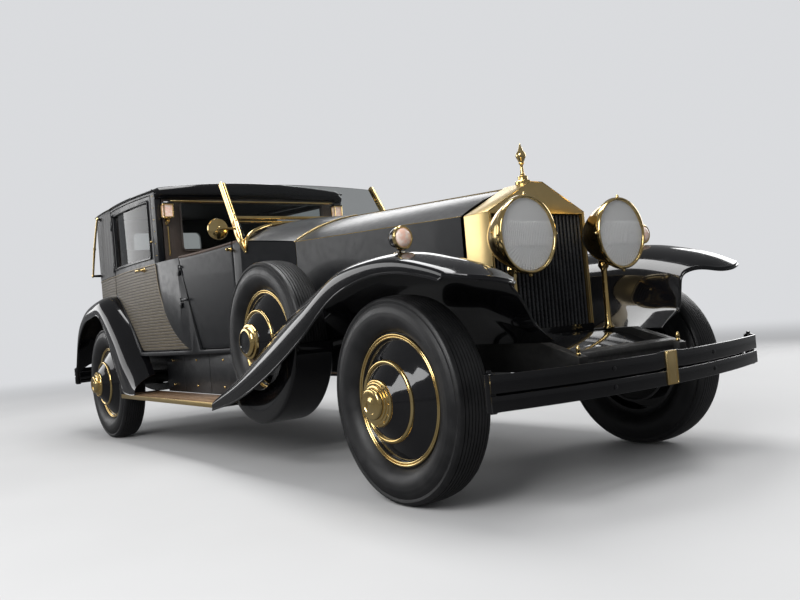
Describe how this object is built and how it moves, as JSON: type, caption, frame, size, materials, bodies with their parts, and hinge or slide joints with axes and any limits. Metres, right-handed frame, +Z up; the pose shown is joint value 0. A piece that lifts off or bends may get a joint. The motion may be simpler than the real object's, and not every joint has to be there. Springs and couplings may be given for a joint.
{
  "type": "vintage town car",
  "caption": "Large vintage town car with an open driver's seat, closed rear cabin, gabled upright radiator, long folding bonnet, sweeping wings with side-mounted spares and bowed bumpers.",
  "frame": {"origin": "on the ground, on the centre line, midway between the faces of the front and rear bumpers", "axes": "+X forward, +Y to the car's left, +Z up"},
  "size_m": [5.44, 1.868, 1.7919],
  "materials": {
    "coach_black": "deep gloss black coach enamel",
    "cane": "woven cane pattern in straw over dark panels, varnished",
    "gold": "satin gold plate with polished edges",
    "hide_roof": "black grained leather cloth",
    "hide_seat": "dark brown hide",
    "tyre_rubber": "ribbed black rubber",
    "wheel_black": "gloss black wheel cover with gold rings",
    "frame_black": "satin black chassis paint",
    "glass": "clear plate glass",
    "lamp_glass": "fluted lamp glass",
    "board_wood": "mahogany strips with light inlay lines",
    "dark_resin": "black hard rubber rim"
  },
  "bodies": {
    "car": {"chassis_frame": "frame_black", "engine_block": "frame_black", "front_axle": "frame_black", "rear_axle": "frame_black", "leaf_springs": "frame_black", "spare_tyres": "tyre_rubber", "spare_wheels": "wheel_black", "radiator_shell": "gold", "radiator_shutters": "coach_black", "radiator_finial": "gold", "headlamps": "gold", "lamp_lenses": "lamp_glass", "fender_lamps": "gold", "front_bumper": "coach_black", "rear_bumper": "coach_black", "front_fender_right": "coach_black", "front_fender_left": "coach_black", "front_apron": "coach_black", "rear_fenders": "coach_black", "running_boards": "board_wood", "cowl": "coach_black", "body_tub": "coach_black", "upper_body": "hide_roof", "roof": "hide_roof", "division_wall": "coach_black", "cabin_glass": "glass", "windscreen_frame": "gold", "windscreen_glass": "glass", "front_seat": "hide_seat", "rear_seat": "hide_seat", "steering_wheel": "dark_resin", "carriage_lamps": "gold", "landau_irons": "gold", "fuel_tank": "frame_black"},
    "knuckle_right": {"knuckle_right": "frame_black"},
    "knuckle_left": {"knuckle_left": "frame_black"},
    "track_rod": {"track_rod": "frame_black"},
    "wheel_front_right": {"wheel_front_right": "wheel_black", "tyre_front_right": "tyre_rubber"},
    "wheel_front_left": {"wheel_front_left": "wheel_black", "tyre_front_left": "tyre_rubber"},
    "wheel_rear_right": {"wheel_rear_right": "wheel_black", "tyre_rear_right": "tyre_rubber"},
    "wheel_rear_left": {"wheel_rear_left": "wheel_black", "tyre_rear_left": "tyre_rubber"},
    "bonnet_top_right": {"bonnet_top_right": "coach_black"},
    "bonnet_side_right": {"bonnet_side_right": "coach_black"},
    "front_door_right": {"front_door_right": "coach_black"},
    "rear_door_right": {"rear_door_right": "cane", "rear_door_glass_right": "glass"},
    "bonnet_top_left": {"bonnet_top_left": "coach_black"},
    "bonnet_side_left": {"bonnet_side_left": "coach_black"},
    "front_door_left": {"front_door_left": "coach_black"},
    "rear_door_left": {"rear_door_left": "cane", "rear_door_glass_left": "glass"}
  },
  "joints": [
    {"name": "steer_right", "type": "hinge", "parent": "car", "child": "knuckle_right", "pos_m": [1.995, -0.655, 0.419], "axis": [0, 0, 1], "range_deg": [-30, 30]},
    {"name": "steer_left", "type": "hinge", "parent": "car", "child": "knuckle_left", "pos_m": [1.995, 0.655, 0.419], "axis": [0, 0, 1], "range_deg": [-30, 30]},
    {"name": "track_rod_pivot", "type": "hinge", "parent": "knuckle_right", "child": "track_rod", "pos_m": [1.83, -0.643, 0.3407], "axis": [0, 0, 1], "range_deg": [-30, 30]},
    {"name": "spin_front_right", "type": "hinge", "parent": "knuckle_right", "child": "wheel_front_right", "pos_m": [1.995, -0.75, 0.419], "axis": [0, 1, 0], "continuous": true},
    {"name": "spin_front_left", "type": "hinge", "parent": "knuckle_left", "child": "wheel_front_left", "pos_m": [1.995, 0.75, 0.419], "axis": [0, 1, 0], "continuous": true},
    {"name": "spin_rear_right", "type": "hinge", "parent": "car", "child": "wheel_rear_right", "pos_m": [-1.726, -0.75, 0.419], "axis": [0, 1, 0], "continuous": true},
    {"name": "spin_rear_left", "type": "hinge", "parent": "car", "child": "wheel_rear_left", "pos_m": [-1.726, 0.75, 0.419], "axis": [0, 1, 0], "continuous": true},
    {"name": "bonnet_top_right_lift", "type": "hinge", "parent": "car", "child": "bonnet_top_right", "pos_m": [1.912, 0, 1.3], "axis": [-0.9988, 0, 0.0491], "range_deg": [0, 30]},
    {"name": "bonnet_side_right_fold", "type": "hinge", "parent": "bonnet_top_right", "child": "bonnet_side_right", "pos_m": [1.912, -0.304, 1.168], "axis": [0.9944, 0.1001, -0.0347], "range_deg": [0, 30]},
    {"name": "front_door_right_hinge", "type": "hinge", "parent": "car", "child": "front_door_right", "pos_m": [-0.369, -0.7246, 0.94], "axis": [0, 0, -1], "range_deg": [0, 60]},
    {"name": "rear_door_right_hinge", "type": "hinge", "parent": "car", "child": "rear_door_right", "pos_m": [-1.704, -0.7128, 1.2], "axis": [0, 0, -1], "range_deg": [0, 65]},
    {"name": "bonnet_top_left_lift", "type": "hinge", "parent": "car", "child": "bonnet_top_left", "pos_m": [1.912, 0, 1.3], "axis": [0.9988, 0, -0.0491], "range_deg": [0, 30]},
    {"name": "bonnet_side_left_fold", "type": "hinge", "parent": "bonnet_top_left", "child": "bonnet_side_left", "pos_m": [1.912, 0.304, 1.168], "axis": [-0.9944, 0.1001, 0.0347], "range_deg": [0, 30]},
    {"name": "front_door_left_hinge", "type": "hinge", "parent": "car", "child": "front_door_left", "pos_m": [-0.369, 0.7246, 0.94], "axis": [0, 0, 1], "range_deg": [0, 60]},
    {"name": "rear_door_left_hinge", "type": "hinge", "parent": "car", "child": "rear_door_left", "pos_m": [-1.704, 0.7128, 1.2], "axis": [0, 0, 1], "range_deg": [0, 65]}
  ],
  "couplings": [
    {"joint": "steer_left", "follows": "steer_right", "ratio": 1},
    {"joint": "track_rod_pivot", "follows": "steer_right", "ratio": -1},
    {"joint": "bonnet_side_right_fold", "follows": "bonnet_top_right_lift", "ratio": 1},
    {"joint": "bonnet_side_left_fold", "follows": "bonnet_top_left_lift", "ratio": 1}
  ]
}
